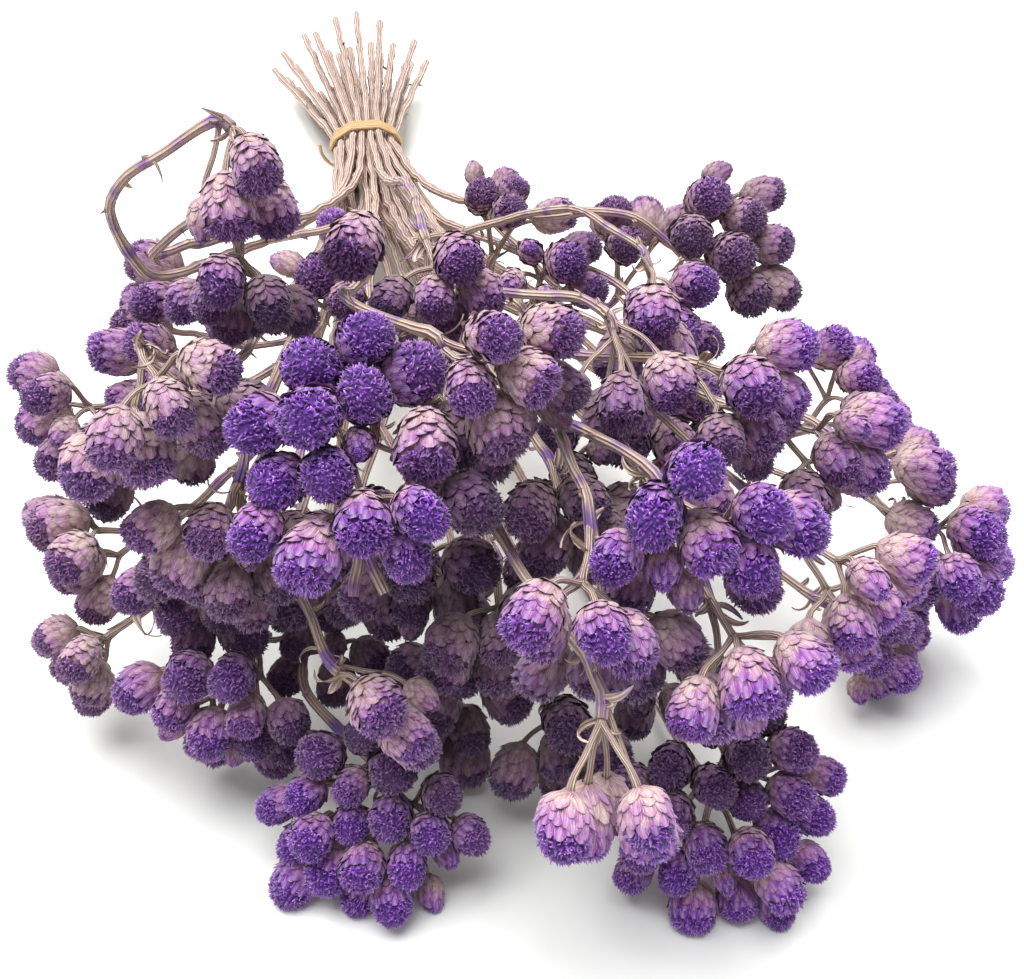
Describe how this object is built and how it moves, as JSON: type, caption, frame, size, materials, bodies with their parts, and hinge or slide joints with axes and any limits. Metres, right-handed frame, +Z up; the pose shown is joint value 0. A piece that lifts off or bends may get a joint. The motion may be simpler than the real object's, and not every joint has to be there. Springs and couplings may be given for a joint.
{
  "type": "bunch of dried lonas",
  "caption": "Bunch of dried button-headed everlasting flowers lying on its side, with violet heads in flat clusters and cut stems held by a band.",
  "frame": {"origin": "on the surface, below the middle of the bunch", "axes": "+Z up, +Y along the bunch from the flower heads towards the cut ends, +X to the right seen from the heads"},
  "size_m": [0.1828, 0.3977, 0.1096],
  "materials": {
    "dried_flower": "matte",
    "band": "matte"
  },
  "bodies": {
    "root": {"spray_back_top": "dried_flower", "spray_centre": "dried_flower", "spray_centre_right": "dried_flower", "spray_crown": "dried_flower", "spray_floor_left": "dried_flower", "spray_floor_right": "dried_flower", "spray_front_hanging": "dried_flower", "spray_front_inner": "dried_flower", "spray_front_right_hanging": "dried_flower", "spray_inner": "dried_flower", "spray_left_below": "dried_flower", "spray_left_edge": "dried_flower", "spray_left_edge_low": "dried_flower", "spray_left_edge_middle": "dried_flower", "spray_left_front": "dried_flower", "spray_left_low": "dried_flower", "spray_left_shoulder": "dried_flower", "spray_middle_back": "dried_flower", "spray_middle_front": "dried_flower", "spray_middle_low": "dried_flower", "spray_middle_right": "dried_flower", "spray_middle_top": "dried_flower", "spray_right_arch": "dried_flower", "spray_right_edge": "dried_flower", "spray_right_inner": "dried_flower", "spray_right_low": "dried_flower", "spray_right_middle": "dried_flower", "spray_right_shoulder": "dried_flower", "spray_right_top": "dried_flower", "spray_right_upper": "dried_flower", "spray_top_left_loop": "dried_flower", "spray_upper_left": "dried_flower", "tie_band": "band"}
  },
  "joints": []
}
